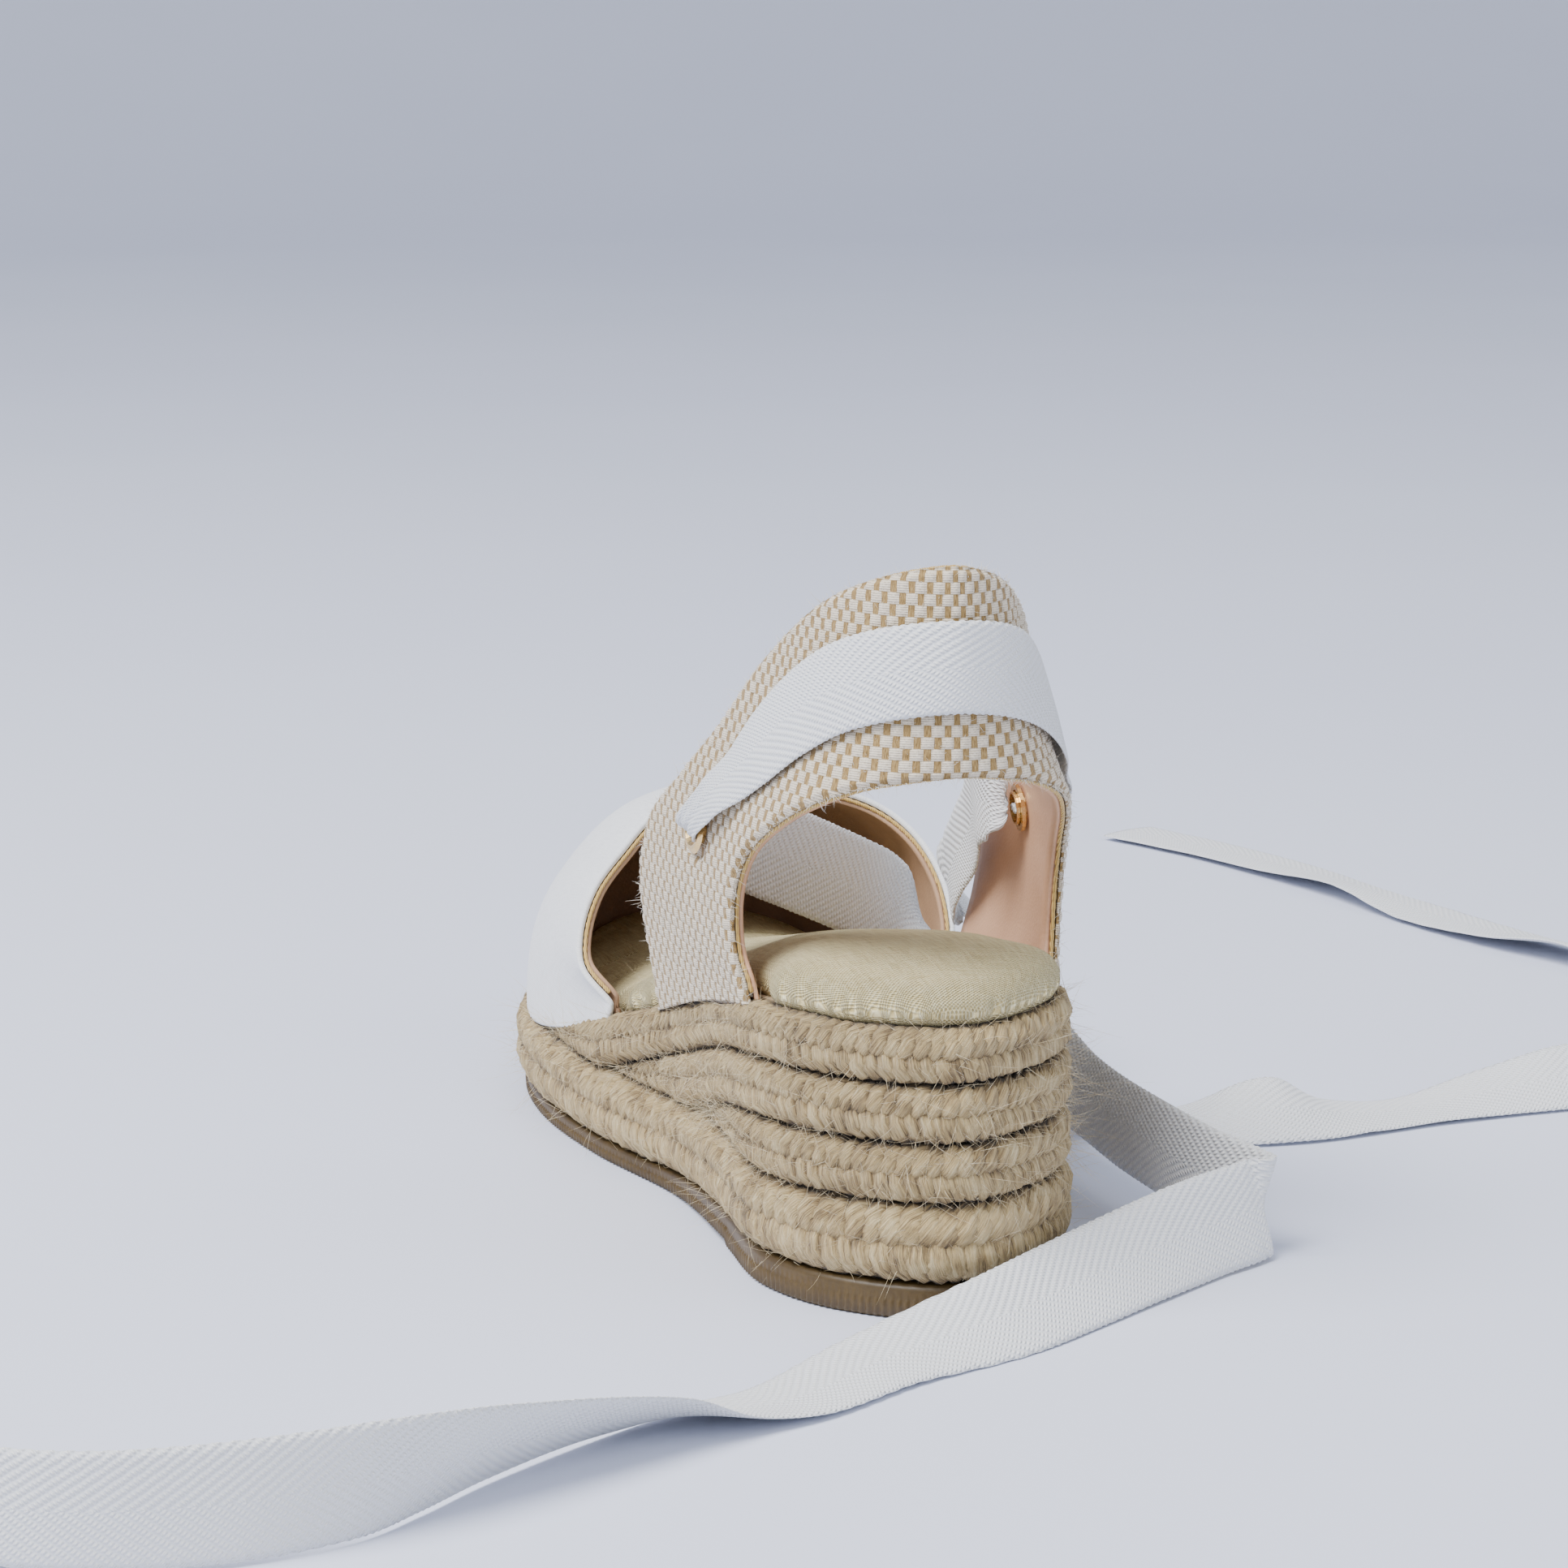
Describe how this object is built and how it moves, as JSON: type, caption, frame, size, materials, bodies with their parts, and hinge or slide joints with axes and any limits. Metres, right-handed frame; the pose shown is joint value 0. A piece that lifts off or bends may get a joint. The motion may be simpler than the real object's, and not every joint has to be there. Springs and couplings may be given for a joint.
{
  "type": "wedge_sandal",
  "caption": "Espadrille wedge sandal with jute braid sides, linen footbed, white canvas toe cap, woven strap over the instep and a long cotton tape lace",
  "frame": {"origin": "On the floor under the middle of the sole's box. +Y points at the toe, +X at the inner side of the foot and +Z up.", "axes": "x: across the foot, to its inner side; y: along the sole, heel to toe; z: up"},
  "size_m": [0.4723, 0.5196, 0.1375],
  "materials": {
    "sole_rubber": "moulded gum rubber, fine ribs on its edge",
    "wedge_cork": "pressed cork, hidden inside the braid",
    "jute": "three strand jute braid, hairy",
    "board": "pressed fibre board",
    "foam": "soft latex foam",
    "footbed_cloth": "plain weave linen over the foam",
    "woven_cotton_jute": "basket weave of white cotton and natural jute",
    "stiffener": "bonded stiffening cloth",
    "lining_leather": "smooth pinkish tan lining leather",
    "cap_lining_leather": "brushed tan lining leather",
    "eyelet_metal": "pale gold rolled eyelet",
    "canvas": "smooth white cotton canvas",
    "gold_thread": "yellow gold edge thread",
    "cotton_tape": "white herringbone cotton tape"
  },
  "bodies": {
    "root": {"outsole": "sole_rubber", "wedge_core": "wedge_cork", "braid_bottom": "jute", "braid_lower_middle": "jute", "braid_upper_middle": "jute", "braid_top": "jute", "insole_board": "board", "footbed_foam": "foam", "footbed_cover": "footbed_cloth", "strap_fabric": "woven_cotton_jute", "strap_stiffener": "stiffener", "strap_lining": "lining_leather", "eyelet_outer": "eyelet_metal", "eyelet_washer_outer": "eyelet_metal", "eyelet_inner": "eyelet_metal", "eyelet_washer_inner": "eyelet_metal", "toe_cap_canvas": "canvas", "toe_cap_lining": "cap_lining_leather", "toe_puff": "stiffener", "strap_thread_lower": "gold_thread", "strap_thread_upper": "gold_thread", "toe_cap_thread": "gold_thread", "lace_tape_heel": "cotton_tape", "lace_run_outer": "cotton_tape", "lace_run_inner": "cotton_tape"}
  },
  "joints": []
}
